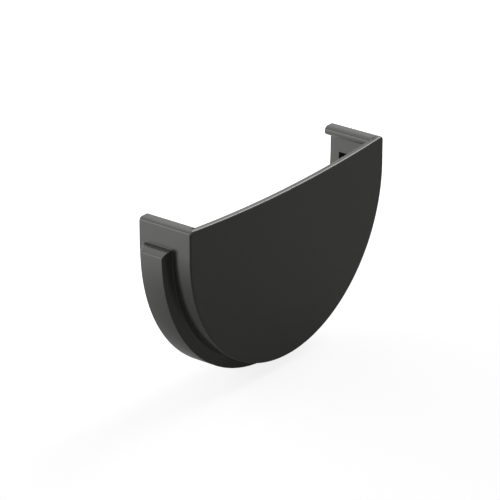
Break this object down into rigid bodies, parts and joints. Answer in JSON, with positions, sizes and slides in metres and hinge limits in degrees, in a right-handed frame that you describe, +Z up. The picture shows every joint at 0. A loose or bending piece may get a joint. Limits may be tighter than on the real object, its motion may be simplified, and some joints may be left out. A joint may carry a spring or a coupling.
{
  "type": "gutter end cap",
  "caption": "End cap for a half-round rain gutter, with a deep rim, rounded lips that hook over the gutter's edges and a rubber seal in a raised channel.",
  "frame": {"origin": "centre of the gutter's half round, on the plate's inner face where the gutter's cut end stops", "axes": "+Y along the gutter and out of the cap's open side, +Z up as fitted, +X across the gutter"},
  "size_m": [0.1344, 0.025, 0.0786],
  "materials": {
    "graphite_pvc": "satin moulded PVC, graphite grey",
    "black_rubber": "dull black rubber"
  },
  "bodies": {
    "root": {"cap_body": "graphite_pvc", "seal": "black_rubber"}
  },
  "joints": []
}
